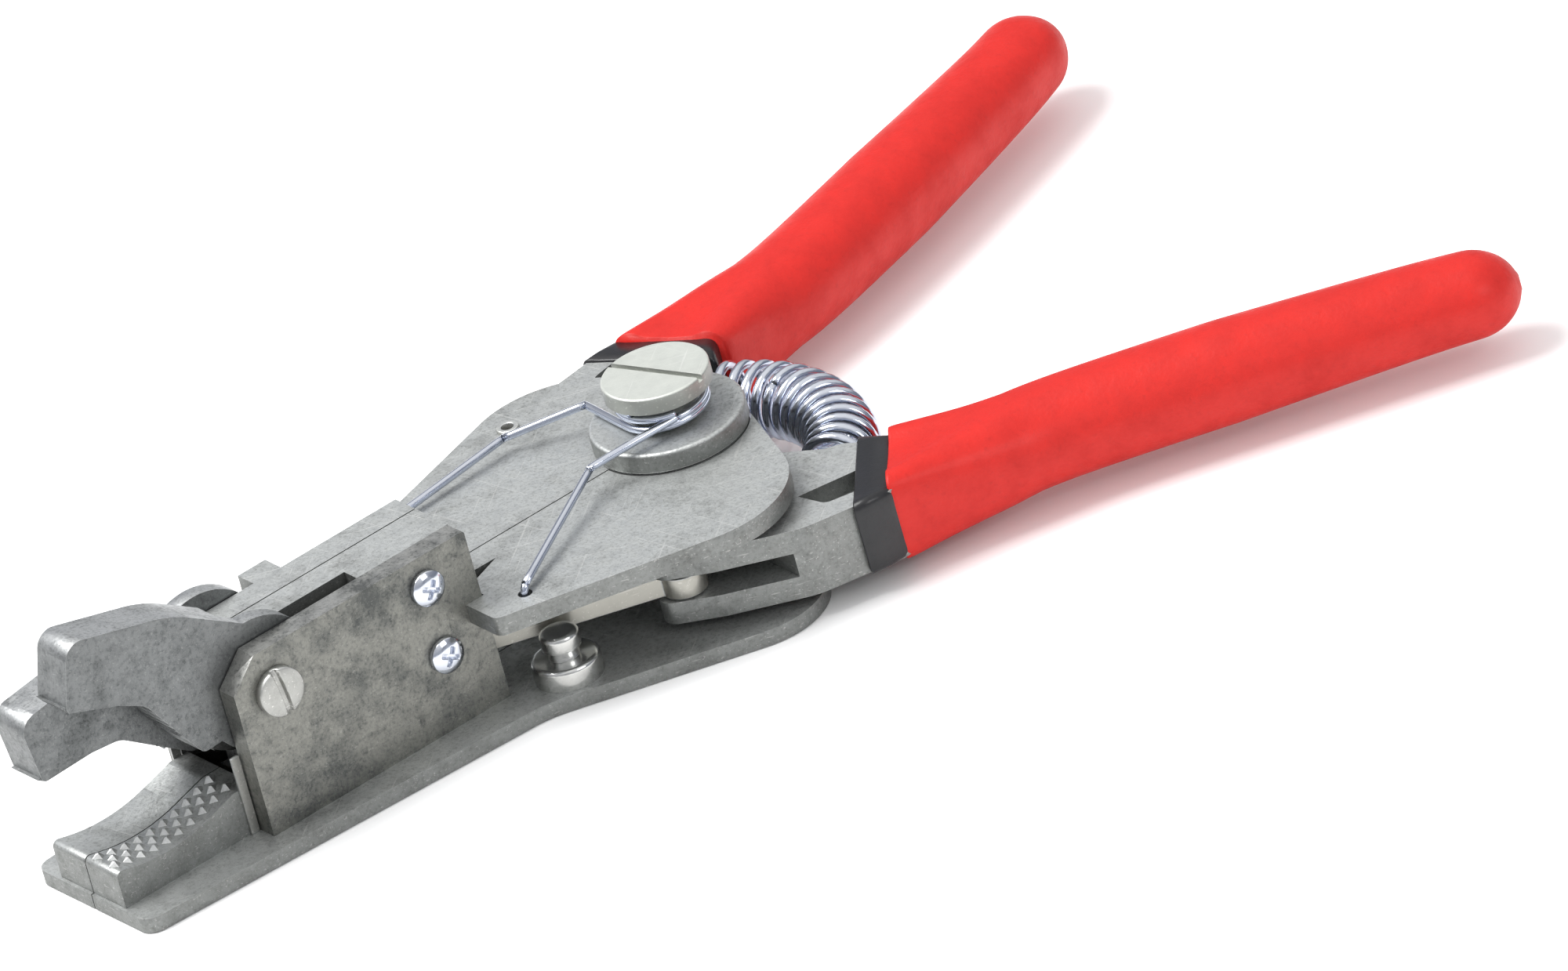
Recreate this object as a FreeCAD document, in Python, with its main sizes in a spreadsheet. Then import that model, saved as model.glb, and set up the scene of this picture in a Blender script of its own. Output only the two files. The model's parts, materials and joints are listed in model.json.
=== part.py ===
"""Two-jaw fencing pliers: a pair of side-by-side halves on one pivot screw.

Frame: the main pivot screw stands on the Z axis, the tool lies flat on z = 0,
-X points to the jaws, +X to the grips, and the parting plane of the halves is
y = 0. The near half is on the -Y side. Lengths are millimetres.
"""
import FreeCAD, Part
import math
import os
import re

import Sketcher
from FreeCAD import Placement, Rotation, Vector

DOC = FreeCAD.newDocument("FencingPliers")

# Driving dimensions: alias, value, what it is.
SIZES = [
    ("seam", 0.15, "each half stops this far from the parting plane"),
    ("running_gap", 0.06, "radial clearance of a shaft that turns in a bore"),
    ("free_gap", 0.3, "clearance between pieces that pass each other"),
    # base plates and top plates
    ("base_thick", 3.0, "base plate thickness"),
    ("plate_bottom", 20.3, "underside of the top plates"),
    ("plate_thick", 3.8, "top plate thickness"),
    ("front_reach", 138.4, "pivot axis to the front of the base plates"),
    ("base_front_half", 17.4, "half width of the base at the jaws"),
    ("base_mid_half", 23.0, "half width of the base behind the channel"),
    ("base_mid_back", 52.0, "where the base starts to widen"),
    ("base_corner_half", 46.5, "theoretical rear corner of the base, sideways"),
    ("base_corner_round", 15.0, "radius of that corner"),
    ("plate_corner_half", 44.2, "theoretical rear corner of the top plate"),
    ("plate_corner_round", 19.0, "radius of that corner"),
    ("corner_ahead", 0.6, "rear corners lie this far behind the pivot"),
    ("far_narrow", 2.4, "the far top plate is this much narrower"),
    ("tab_reach", 57.6, "pivot axis to the front of the top plate's tab"),
    ("tab_half", 23.6, "half width of the top plates at the tab"),
    ("rear_relief_x", 13.4, "end of the rear edge beside the eye"),
    ("rear_relief_y", 4.0, "and its distance from the parting plane"),
    ("eye_radius", 14.2, "half-lapped eye round the pivot"),
    ("lap_gap", 0.1, "half of the gap between lapped eyes"),
    # channel and lower jaw
    ("channel_top", 37.8, "top of the channel that holds the upper jaw"),
    ("channel_back", 54.2, "pivot axis to the rear of the channel"),
    ("wall_half", 6.1, "outer face of the inner wall"),
    ("pocket_half", 2.9, "depth line of the link pocket in that wall"),
    ("pocket_floor", 9.0, "floor of the link pocket"),
    ("pocket_roof", 25.8, "roof of the link pocket"),
    ("seat_half", 10.0, "face on which the side cover seats"),
    ("slot_back", 74.8, "rear end of the jaw slot"),
    ("rib_front", 70.0, "rib for the lower cover screw, front"),
    ("rib_back", 61.5, "rib for the lower cover screw, back"),
    ("rib_half", 7.4, "inner face of that rib"),
    ("rib_floor", 13.5, "underside of that rib"),
    ("jaw_front", 137.8, "pivot axis to the front of the lower jaw"),
    ("jaw_nose_top", 10.7, "lower jaw height at its nose"),
    ("jaw_dip_x", 125.8, "deepest place of the lower jaw"),
    ("jaw_dip_top", 7.7, "theoretical depth of that hollow"),
    ("jaw_dip_round", 34.0, "radius of that hollow"),
    ("jaw_heel_x", 110.5, "heel of the lower jaw"),
    ("jaw_heel_top", 12.2, "heel height"),
    ("jaw_heel_back", 106.5, "rear of the heel"),
    ("far_top_drop", 5.3, "the far half's outer channel is this much lower"),
    ("lug_front", 86.4, "stop lug on the far half, front"),
    ("lug_back", 80.2, "stop lug on the far half, back"),
    ("lug_half", 11.0, "stop lug on the far half, sideways"),
    ("lug_floor", 34.0, "underside of the stop lug"),
    # side covers
    ("cover_thick", 4.6, "side cover thickness"),
    ("cover_front", 107.6, "pivot axis to the cover's front edge"),
    ("cover_back", 54.0, "pivot axis to the cover's rear edge"),
    ("cover_chamfer_x", 6.0, "front upper chamfer, along the cover"),
    ("cover_chamfer_z", 5.5, "front upper chamfer, down the cover"),
    ("screw_x", 64.45, "cover screws, distance from the pivot axis"),
    ("screw_high", 31.7, "upper cover screw height"),
    ("screw_low", 17.6, "lower cover screw height"),
    ("screw_radius", 1.5, "M3 cover screw"),
    ("screw_head_radius", 3.0, "its pan head"),
    ("screw_head_high", 2.0, "pan head height"),
    ("screw_grip", 2.4, "thread length in the casting"),
    # upper jaw (hook)
    ("hinge_x", 98.8, "jaw screw, distance from the main pivot"),
    ("hinge_z", 29.1, "jaw screw height"),
    ("hinge_radius", 2.5, "M5 jaw screw"),
    ("hinge_head_radius", 3.7, "its slotted head"),
    ("hinge_head_high", 2.3, "slotted head height"),
    ("hook_face", 9.7, "outer face of the hooks"),
    ("hook_inner", 0.8, "inner face of the hooks"),
    ("hub_inner", 6.4, "inner face of the thin hub"),
    ("near_hub_radius", 10.4, "hub of the near hook"),
    ("far_hub_radius", 13.0, "hub of the far hook"),
    ("thick_radius", 15.0, "the hook is full width outside this radius"),
    ("wall_nose_radius", 14.6, "front of the inner wall, about the jaw screw"),
    ("crank", 6.7, "jaw screw to crank pin"),
    ("crank_pin_radius", 1.3, "crank pin"),
    ("jaw_swing", 46.0, "near jaw, from rest to closed, degrees"),
    ("far_jaw_ahead", 23.0, "far jaw, ahead of the near one, degrees"),
    # main screw and boss
    ("pivot_radius", 5.5, "shank of the main screw"),
    ("head_radius", 10.0, "head of the main screw"),
    ("head_bottom", 33.9, "underside of the head"),
    ("head_high", 3.2, "head height"),
    ("boss_radius", 14.4, "spacer boss under the hairpin spring"),
    ("boss_top", 28.2, "top of the boss"),
    # levers
    ("lever_bottom", 5.0, "underside of the levers"),
    ("lever_top", 18.8, "top of the levers"),
    ("lever_eye_radius", 12.0, "eye of a lever"),
    ("eye_split", 12.0, "height at which the two eyes meet"),
    ("pin_x", 19.1, "link pin, ahead of the main pivot"),
    ("pin_y", 24.2, "link pin, sideways"),
    ("pin_radius", 2.2, "link pin"),
    ("fork_radius", 5.0, "round end of the fork"),
    ("fork_low", 9.4, "lower face of the fork's slot"),
    ("fork_high", 13.2, "upper face of the fork's slot"),
    ("groove_floor", 15.2, "floor of the groove between the lever's ridges"),
    ("groove_wide", 6.6, "width of that groove"),
    ("handle_axis", 12.0, "height of the grip's centre line"),
    ("far_handle_ahead", 5.0, "far handle, ahead of the near one, degrees"),
    ("peg_radius", 4.3, "spring peg on a lever"),
    # grips, as half widths of oval sections
    ("core_wide", 7.4, "lever core, half width"),
    ("core_high", 6.4, "lever core, half height"),
    ("under_wall", 0.8, "black under-layer thickness"),
    ("grip_wide", 10.0, "red grip, half width"),
    ("grip_high", 9.3, "red grip, half height"),
    ("end_share", 0.84, "grip section at the end, as a share of the widest"),
    # links
    ("link_thick", 2.4, "link blade thickness"),
    ("link_line", 4.4, "blade centre line inside the channel"),
    ("link_bend", 60.0, "where the blade turns out to the fork"),
    ("link_play", 0.35, "crank pin clearance in the link's slot"),
    ("link_eye_radius", 4.2, "eye of the link in the fork"),
    # springs
    ("wire_radius", 0.95, "hairpin spring wire"),
    ("coil_radius", 7.8, "hairpin coil, mean radius"),
    ("hook_hole_x", 49.1, "hairpin holes in the top plates"),
    ("hook_hole_y", 21.2, "hairpin holes, sideways"),
    ("return_bend", 26.5, "centre line radius of the return spring"),
    ("return_shift", 4.0, "centre of that arc, behind the pivot"),
    ("return_outer", 6.7, "return spring, outer radius"),
    ("return_inner", 4.75, "return spring, inner radius"),
    # small parts
    ("stud_x", 43.4, "stop stud, ahead of the pivot"),
    ("stud_y", 18.5, "stop stud, sideways"),
    ("stud_collar_radius", 6.4, "stop stud collar"),
    ("stud_collar_top", 7.2, "top of the collar"),
    ("stud_neck_radius", 2.9, "stop stud neck"),
    ("stud_head_radius", 3.7, "stop stud head"),
    ("stud_head_bottom", 9.2, "underside of the stud's head"),
    ("stud_top", 12.4, "top of the stud"),
    ("rivet_x", 16.0, "hollow rivet in the far top plate"),
    ("rivet_y", 28.9, "hollow rivet, sideways"),
    ("rivet_radius", 2.1, "hollow rivet, outside"),
    ("rivet_bore", 1.1, "hollow rivet, inside"),
    ("shim_thick", 0.5, "wear shim beside each hook"),
]

SHEET = DOC.addObject("Spreadsheet::Sheet", "sizes")
for row, (alias, number, meaning) in enumerate(SIZES, start=1):
    SHEET.set("A%d" % row, meaning)
    SHEET.set("B%d" % row, str(number))
    SHEET.setAlias("B%d" % row, alias)
DOC.recompute()

WORDS = re.compile("|".join(r"\b%s\b" % alias for alias, _, _ in sorted(SIZES, key=lambda item: -len(item[0]))))


def expression(text):
    """Write a formula of aliases in the form that the document's expressions use."""
    return WORDS.sub(lambda word: "sizes." + word.group(0), str(text))


def number(text):
    """Value of a formula of aliases."""
    result = SHEET.evalExpression(expression(text))
    return float(getattr(result, "Value", result))


def bind(item, **formulas):
    """Bind properties of an object to formulas of aliases."""
    for prop, formula in formulas.items():
        item.setExpression(prop.replace("__", "."), expression(formula))
    return item


def place(item, x="0", y="0", z="0", turn=None):
    """Put an object at bound coordinates, turned by a fixed rotation."""
    item.Placement = Placement(Vector(number(x), number(y), number(z)), turn or Rotation())
    return bind(item, Placement__Base__x=x, Placement__Base__y=y, Placement__Base__z=z)


def box(name, x, y, z):
    """Box between two formulas along each axis."""
    item = DOC.addObject("Part::Box", name)
    bind(item, Length="(%s)-(%s)" % (x[1], x[0]), Width="(%s)-(%s)" % (y[1], y[0]), Height="(%s)-(%s)" % (z[1], z[0]))
    return place(item, x[0], y[0], z[0])


def post(name, radius, x, y, z):
    """Upright cylinder between two heights."""
    item = DOC.addObject("Part::Cylinder", name)
    bind(item, Radius=radius, Height="(%s)-(%s)" % (z[1], z[0]))
    return place(item, x, y, z[0])


ALONG_Y = Rotation(Vector(1, 0, 0), -90)


def cross_pin(name, radius, x, z, y):
    """Cylinder along +Y between two formulas."""
    item = DOC.addObject("Part::Cylinder", name)
    bind(item, Radius=radius, Height="(%s)-(%s)" % (y[1], y[0]))
    return place(item, x, y[0], z, ALONG_Y)


def fuse(name, *pieces):
    """Union of several objects."""
    item = DOC.addObject("Part::MultiFuse", name)
    item.Shapes = list(pieces)
    item.Refine = True
    return item


def cut(name, base, *tools):
    """Take several objects away from one."""
    for index, tool in enumerate(tools):
        item = DOC.addObject("Part::Cut", name if index == len(tools) - 1 else "%s_step%d" % (name, index))
        item.Base, item.Tool, item.Refine = base, tool, True
        base = item
    return base


def common(name, *pieces):
    """What several objects share."""
    item = DOC.addObject("Part::MultiCommon", name)
    item.Shapes = list(pieces)
    item.Refine = True
    return item


def far_copy(name, piece):
    """The same piece mirrored in the parting plane."""
    item = DOC.addObject("Part::Mirroring", name)
    item.Source = piece
    item.Normal = Vector(0, 1, 0)
    return item


def turned_copy(name, piece, axis, angle, x="0", z="0"):
    """The same piece turned by a bound angle about a line along Y or Z."""
    item = DOC.addObject("Part::Compound", name)
    item.Links = [piece]
    item.Placement.Rotation = Rotation(axis, number(angle))
    away = Vector(number(x), 0, number(z))
    turn = Rotation(axis, number(angle))
    item.Placement = Placement(away - turn.multVec(away), turn)
    return item


def sketch_outline(sketch, corners, circles=()):
    """Draw a closed outline whose corners are (x, y) or (x, y, radius) formulas."""
    spots = [Vector(number(corner[0]), number(corner[1]), 0) for corner in corners]
    rounds = [number(corner[2]) if len(corner) > 2 else 0.0 for corner in corners]
    count = len(corners)
    arrive, leave, arcs = [None] * count, [None] * count, {}
    for index, (spot, radius) in enumerate(zip(spots, rounds)):
        back = (spots[index - 1] - spot).normalize()
        ahead = (spots[(index + 1) % count] - spot).normalize()
        arrive[index] = leave[index] = spot
        if radius:
            half = back.getAngle(ahead) / 2
            arrive[index] = spot + back * (radius / math.tan(half))
            leave[index] = spot + ahead * (radius / math.tan(half))
            centre = spot + (back + ahead).normalize() * (radius / math.sin(half))
            start, end = arrive[index] - centre, leave[index] - centre
            left_turn = (start.x * end.y - start.y * end.x) > 0
            first, last = (start, end) if left_turn else (end, start)
            circle = Part.Circle(centre, Vector(0, 0, 1), radius)
            span = (math.atan2(first.y, first.x), math.atan2(last.y, last.x))
            arcs[index] = (Part.ArcOfCircle(circle, *span), left_turn)
    lines = [sketch.addGeometry(Part.LineSegment(leave[i], arrive[(i + 1) % count]), False) for i in range(count)]

    def fix(geometry, point, index):
        for kind, formula in (("DistanceX", corners[index][0]), ("DistanceY", corners[index][1])):
            link = sketch.addConstraint(Sketcher.Constraint(kind, geometry, point, number(formula)))
            sketch.setExpression("Constraints[%d]" % link, expression(formula))

    for index in range(count):
        before, after = lines[index - 1], lines[index]
        if index not in arcs:
            sketch.addConstraint(Sketcher.Constraint("Coincident", before, 2, after, 1))
            fix(after, 1, index)
            continue
        shape, left_turn = arcs[index]
        arc = sketch.addGeometry(shape, False)
        sketch.addConstraint(Sketcher.Constraint("Tangent", before, 2, arc, 1 if left_turn else 2))
        sketch.addConstraint(Sketcher.Constraint("Tangent", arc, 2 if left_turn else 1, after, 1))
        link = sketch.addConstraint(Sketcher.Constraint("Radius", arc, rounds[index]))
        sketch.setExpression("Constraints[%d]" % link, expression(corners[index][2]))
        apex = sketch.addGeometry(Part.Point(spots[index]), True)
        sketch.addConstraint(Sketcher.Constraint("PointOnObject", apex, 1, before))
        sketch.addConstraint(Sketcher.Constraint("PointOnObject", apex, 1, after))
        fix(apex, 1, index)
    for x, y, radius in circles:
        ring = Part.Circle(Vector(number(x), number(y), 0), Vector(0, 0, 1), number(radius))
        geometry = sketch.addGeometry(ring, False)
        for kind, formula in (("DistanceX", x), ("DistanceY", y)):
            link = sketch.addConstraint(Sketcher.Constraint(kind, geometry, 3, number(formula)))
            sketch.setExpression("Constraints[%d]" % link, expression(formula))
        link = sketch.addConstraint(Sketcher.Constraint("Radius", geometry, number(radius)))
        sketch.setExpression("Constraints[%d]" % link, expression(radius))
    return sketch


UPRIGHT = Rotation(Vector(1, 0, 0), 90)


def slab(name, corners, z):
    """Outline in the XY plane, extruded between two heights."""
    sketch = sketch_outline(DOC.addObject("Sketcher::SketchObject", name + "_outline"), corners)
    place(sketch, z=z[0])
    item = DOC.addObject("Part::Extrusion", name)
    item.Base, item.DirMode, item.Dir, item.Solid = sketch, "Custom", Vector(0, 0, 1), True
    return bind(item, LengthFwd="(%s)-(%s)" % (z[1], z[0]))


def profile(name, corners, y):
    """Outline in the XZ plane, extruded towards +Y between two formulas."""
    sketch = sketch_outline(DOC.addObject("Sketcher::SketchObject", name + "_outline"), corners)
    place(sketch, y=y[0], turn=UPRIGHT)
    item = DOC.addObject("Part::Extrusion", name)
    item.Base, item.DirMode, item.Dir, item.Solid = sketch, "Custom", Vector(0, 1, 0), True
    return bind(item, LengthFwd="(%s)-(%s)" % (y[1], y[0]))


def origin_plane(body, role):
    """A body's own origin plane or axis."""
    return [feature for feature in body.Origin.OriginFeatures if feature.Role == role][0]


def turned(name, corners, x="0", y="0", z="0", turn=None):
    """Turned part: a PartDesign body that revolves an (r, height) outline."""
    body = DOC.addObject("PartDesign::Body", name)
    sketch = body.newObject("Sketcher::SketchObject", name + "_section")
    sketch.AttachmentSupport = (origin_plane(body, "XZ_Plane"), [""])
    sketch.MapMode = "FlatFace"
    sketch_outline(sketch, corners)
    ring = body.newObject("PartDesign::Revolution", name + "_turn")
    ring.Profile = sketch
    ring.ReferenceAxis = (sketch, ["V_Axis"])
    ring.Angle = 360
    return place(body, x, y, z, turn)


OUT = {}


def hand_in(node, piece, label=True):
    """Name a finished piece after its node."""
    holder = DOC.addObject("Part::Compound", "node_" + node)
    holder.Links = [piece]
    holder.Label = node
    OUT[node] = holder
    return holder


def plate(name, tip, corner, radius, z, front):
    """One near-side plate between two heights, from its front corners to the eye."""
    return slab(name, front + [tip, ("corner_ahead", "-%s" % corner, radius),
                               ("rear_relief_x", "-rear_relief_y"), ("rear_relief_x", "-seam")], z)


# ---- the two halves of the body -------------------------------------------
PLATE_Z = ("plate_bottom", "plate_bottom+plate_thick")
BASE_Z = ("0", "base_thick")
base = plate("base_plate", ("-base_mid_back", "-base_mid_half", "20"), "base_corner_half", "base_corner_round",
             BASE_Z, [("-front_reach", "-seam"), ("-front_reach", "-base_front_half", "3")])
TAB = [("-tab_reach", "-seam"), ("-tab_reach", "-seat_half+1"),
       ("-cover_back+0.4", "-seat_half+1"), ("-cover_back+0.4", "-seat_half-cover_thick"),
       ("-tab_reach", "-seat_half-cover_thick")]
top = plate("top_plate", ("-tab_reach", "-tab_half", "2"), "plate_corner_half", "plate_corner_round", PLATE_Z, TAB)
far_top = plate("far_top_plate", ("-tab_reach", "-tab_half+far_narrow", "2"), "(plate_corner_half-far_narrow)",
                "plate_corner_round", PLATE_Z, TAB)
wall = box("wall", ("-hinge_x", "-channel_back"), ("-wall_half", "-seam"), ("0", "channel_top"))
nose_disc = cross_pin("nose_disc", "wall_nose_radius", "-hinge_x", "hinge_z", ("-wall_half", "-seam"))
nose_trim = box("nose_trim", ("-hinge_x-30", "-hinge_x+30"), ("-wall_half-1", "0"), ("channel_top", "channel_top+20"))
nose = cut("nose", nose_disc, nose_trim)
foot = box("wall_foot", ("-hinge_x-4", "-hinge_x"), ("-wall_half", "-seam"), ("0", "hinge_z-8"))
jaw_block = profile("lower_jaw", [("-jaw_front", "1"), ("-jaw_front", "jaw_nose_top", "1.2"),
                                  ("-jaw_dip_x", "jaw_dip_top", "jaw_dip_round"),
                                  ("-jaw_heel_x", "jaw_heel_top", "3"), ("-jaw_heel_back", "jaw_heel_top"),
                                  ("-jaw_heel_back", "1")], ("-seat_half", "-seam"))
bridge = box("bridge", ("-slot_back", "-channel_back"), ("-seat_half", "-seam"), ("pocket_roof", "channel_top"))
rib = box("rib", ("-rib_front", "-rib_back"), ("-seat_half", "-rib_half"), ("rib_floor", "pocket_roof+1"))
pocket = box("pocket", ("-hinge_x-11", "-channel_back+2"), ("-rib_half-3", "-pocket_half"),
             ("pocket_floor", "pocket_roof"))
mouth = box("mouth", ("-cover_back-7", "-cover_back+7"), ("-seat_half-1", "-pocket_half"),
            ("pocket_floor", "plate_bottom"))
notch = slab("notch", [("-cover_back-1", "-wall_half+0.3"), ("-cover_back-1", "-seat_half-0.5"),
                       ("-cover_back+9.5", "-wall_half+0.1")], ("plate_bottom-1", "plate_bottom+plate_thick+1"))


def screw_threads(name, top_height, low_height):
    """Tapped holes for the cover screws and the jaw screw."""
    across = ("-seat_half-1", "-seat_half+screw_grip+0.4")
    return [cross_pin(name + "_high", "screw_radius", "-screw_x", top_height, across),
            cross_pin(name + "_low", "screw_radius", "-screw_x", low_height, across),
            cross_pin(name + "_hinge", "hinge_radius", "-hinge_x", "hinge_z", ("-seat_half", "-pocket_half+1"))]


def half(side, high, roof_plate):
    """A half without its lapped eyes: casting with pocket, threads, spring hole and stud hole."""
    shell = cut(side + "_wall_cut", fuse(side + "_solid", wall, nose, foot, bridge), pocket, mouth)
    holes = screw_threads(side + "_thread", high, "screw_low") + [notch]
    holes.append(post(side + "_spring_hole", "wire_radius+0.4", "-hook_hole_x", "-hook_hole_y",
                      ("plate_bottom-1", "plate_bottom+plate_thick+1")))
    holes.append(post(side + "_stud_hole", "stud_neck_radius", "-stud_x", "-stud_y", ("-1", "base_thick+1")))
    return cut(side + "_casting", fuse(side + "_all", base, roof_plate, jaw_block, shell, rib), *holes)


def lap(side, casting, own, other, bore):
    """Give a half its own eye discs, room for the other half's, and its bore."""
    eyes, room = [], []
    for index, (mine, theirs) in enumerate(zip(own, other)):
        eyes.append(post("%s_eye%d" % (side, index), "eye_radius", "0", "0", mine))
        room.append(post("%s_room%d" % (side, index), "eye_radius+free_gap", "0", "0", theirs))
    bored = post(side + "_bore", bore, "0", "0", ("-1", "channel_top"))
    return cut(side + "_half", fuse(side + "_lapped", cut(side + "_relieved", casting, *room), *eyes), bored)


MID_BASE, MID_TOP = "base_thick/2", "plate_bottom+plate_thick/2"
LOWER = [("0", MID_BASE + "-lap_gap"), ("plate_bottom", MID_TOP + "-lap_gap")]
UPPER = [(MID_BASE + "+lap_gap", "base_thick"), (MID_TOP + "+lap_gap", "plate_bottom+plate_thick")]
ROOM_HIGH = [(MID_BASE + "-lap_gap", "base_thick+1"), (MID_TOP + "-lap_gap", "plate_bottom+plate_thick+1")]
ROOM_LOW = [("-1", MID_BASE + "+lap_gap"), ("plate_bottom-1", MID_TOP + "+lap_gap")]
near_casting = half("near", "screw_high", top)
hand_in("near_body", lap("near", near_casting, LOWER, ROOM_HIGH, "pivot_radius"))

far_plain = far_copy("far_mirrored", half("far", "screw_high-far_top_drop", far_top))
lower_edge = box("far_drop", ("-slot_back-1", "-channel_back+1"), ("wall_half", "seat_half+1"),
                 ("channel_top-far_top_drop", "channel_top+1"))
lug = box("far_lug", ("-lug_front", "-lug_back"), ("wall_half-1", "lug_half"), ("lug_floor", "channel_top"))
rivet_hole = post("rivet_hole", "rivet_radius", "-rivet_x", "rivet_y", ("plate_bottom-1", "boss_top"))
far_casting = cut("far_rivet_cut", fuse("far_with_lug", cut("far_dropped", far_plain, lower_edge), lug), rivet_hole)
hand_in("far_body", lap("far", far_casting, UPPER, ROOM_LOW, "pivot_radius+running_gap"))

# ---- side covers, their screws and the jaw screws ----------------------------
OUTER = "-seat_half-cover_thick"
FACING_NEAR = Rotation(Vector(1, 0, 0), 90)


def pan_screw(name, radius, head, high, grip, x, z, start):
    """Pan head screw seated on the cover, its axis along Y, the head outwards."""
    return turned(name, [("0", "-(%s)" % grip), (radius, "-(%s)" % grip), (radius, "0"), (head, "0"),
                         (head, "%s" % high, "(%s)*0.5" % high), ("0", high)], x, start, z, FACING_NEAR)


for side, high in (("near", "screw_high"), ("far", "screw_high-far_top_drop")):
    roof = "channel_top" if side == "near" else "channel_top-far_top_drop"
    sheet_metal = profile(side + "_cover_blank", [
        ("-cover_front", "base_thick"), ("-cover_back", "base_thick"), ("-cover_back", roof, "0.6"),
        ("-cover_front+cover_chamfer_x", roof), ("-cover_front", roof + "-cover_chamfer_z")],
        (OUTER, "-seat_half"))
    through = ("-seat_half-cover_thick-1", "-seat_half+1")
    holes = [cross_pin(side + "_ch1", "screw_radius", "-screw_x", high, through),
             cross_pin(side + "_ch2", "screw_radius", "-screw_x", "screw_low", through),
             cross_pin(side + "_ch3", "hinge_radius", "-hinge_x", "hinge_z", through)]
    cover = cut(side + "_cover_cut", sheet_metal, *holes)
    screws = [pan_screw("%s_pan%d" % (side, index), "screw_radius", "screw_head_radius", "screw_head_high",
                        "cover_thick+screw_grip", "-screw_x", height, OUTER)
              for index, height in enumerate((high, "screw_low"))]
    pair = fuse(side + "_pans", *screws)
    pivot = pan_screw(side + "_hinge_screw", "hinge_radius", "hinge_head_radius", "hinge_head_high",
                      "cover_thick+seat_half-pocket_half-0.2", "-hinge_x", "hinge_z", OUTER)
    strip = box(side + "_shim_blank", ("-cover_front-2", "-cover_front-0.2"), ("-seat_half-shim_thick", "-seat_half"),
                ("base_thick", "base_thick+16"))
    stud = turned(side + "_stud", [
        ("0", "0"), ("stud_neck_radius", "0"), ("stud_neck_radius", "base_thick"),
        ("stud_collar_radius", "base_thick"), ("stud_collar_radius", "stud_collar_top", "1"),
        ("stud_neck_radius", "stud_collar_top"), ("stud_neck_radius", "stud_head_bottom"),
        ("stud_head_radius", "stud_head_bottom"), ("stud_head_radius", "stud_top", "1.2"), ("0", "stud_top")],
        "-stud_x", "-stud_y")
    for node, piece in (("side_cover", cover), ("cover_screws", pair), ("jaw_screw", pivot),
                        ("wear_shim", strip), ("stop_stud", stud)):
        shown = piece if side == "near" else far_copy("far_%s_mirrored" % node, piece)
        hand_in("%s_%s" % (side, node), shown)

rivet = turned("rivet", [("rivet_bore", "plate_bottom"), ("rivet_radius", "plate_bottom"),
                         ("rivet_radius", "plate_bottom+plate_thick+0.7", "0.3"),
                         ("rivet_bore", "plate_bottom+plate_thick+0.7")], "-rivet_x", "rivet_y")
hand_in("far_rivet", rivet)

# ---- main screw and boss --------------------------------------------------------
screw = turned("main_screw_solid", [("0", "0"), ("pivot_radius", "0"), ("pivot_radius", "head_bottom"),
                                    ("head_radius", "head_bottom"), ("head_radius", "head_bottom+head_high", "0.5"),
                                    ("0", "head_bottom+head_high")])
driver = box("driver_slot", ("-head_radius-2", "head_radius+2"), ("-0.6", "0.6"),
             ("head_bottom+head_high-1.1", "head_bottom+head_high+1"))
driver_turn = Rotation(Vector(0, 0, 1), -70)
driver.Placement = Placement(driver_turn.multVec(driver.Placement.Base), driver_turn)
driver.setExpression("Placement.Base.x", None)
driver.setExpression("Placement.Base.y", None)
hand_in("main_screw", cut("main_screw_cut", screw, driver))
boss = turned("boss", [("pivot_radius", "plate_bottom+plate_thick+lap_gap*2"),
                       ("boss_radius", "plate_bottom+plate_thick+lap_gap*2"),
                       ("boss_radius", "boss_top", "0.8"), ("pivot_radius", "boss_top")])
hand_in("boss_ring", boss)

# ---- upper jaws -------------------------------------------------------------------
HOOK = [(-39.3, 15.0, 1.2), (-35.6, 27.6, 3.5), (-13.8, 21.6, 26), (1.6, 11.2, 6), (4.0, 1.0, 0), (-2.0, -6.0, 0),
        (-15.0, -6.6, 1.5), (-18.4, -1.0, 12), (-23.6, 8.0, 5), (-29.0, 11.0, 9)]
corners = [("-hinge_x%+.2f*hinge_x/98.8" % x, "hinge_z%+.2f" % z) + ((str(r),) if r else ()) for x, z, r in HOOK]
hook = profile("hook", corners, ("-hook_face", "-hook_inner"))
inside = cross_pin("hook_relief", "thick_radius", "-hinge_x", "hinge_z", ("-hub_inner", "1"))
hub = cross_pin("hook_hub", "far_hub_radius-0.5", "-hinge_x", "hinge_z", ("-hook_face", "-hub_inner"))
hook_bore = cross_pin("hook_bore", "hinge_radius+running_gap", "-hinge_x", "hinge_z", ("-hook_face-1", "0"))
CRANK_X = "(-hinge_x-crank*sin(far_jaw_ahead*1deg))"
CRANK_Z = "(hinge_z-crank*cos(far_jaw_ahead*1deg))"
crank_hole = cross_pin("crank_hole", "crank_pin_radius", CRANK_X, CRANK_Z, ("-hook_face-1", "0"))
jaw_solid = cut("hook_cut", fuse("hook_all", cut("hook_relieved", hook, inside), hub), hook_bore, crank_hole)
crank_pin = cross_pin("crank_pin_solid", "crank_pin_radius", CRANK_X, CRANK_Z, ("-hook_face", "-pocket_half-0.3"))
for node, piece in (("jaw", jaw_solid), ("crank_pin", crank_pin)):
    hand_in("near_" + node, piece)
    ahead = turned_copy("far_%s_ahead" % node, piece, Vector(0, -1, 0), "far_jaw_ahead", "-hinge_x", "hinge_z")
    hand_in("far_" + node, far_copy("far_%s_mirrored" % node, ahead))

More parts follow.
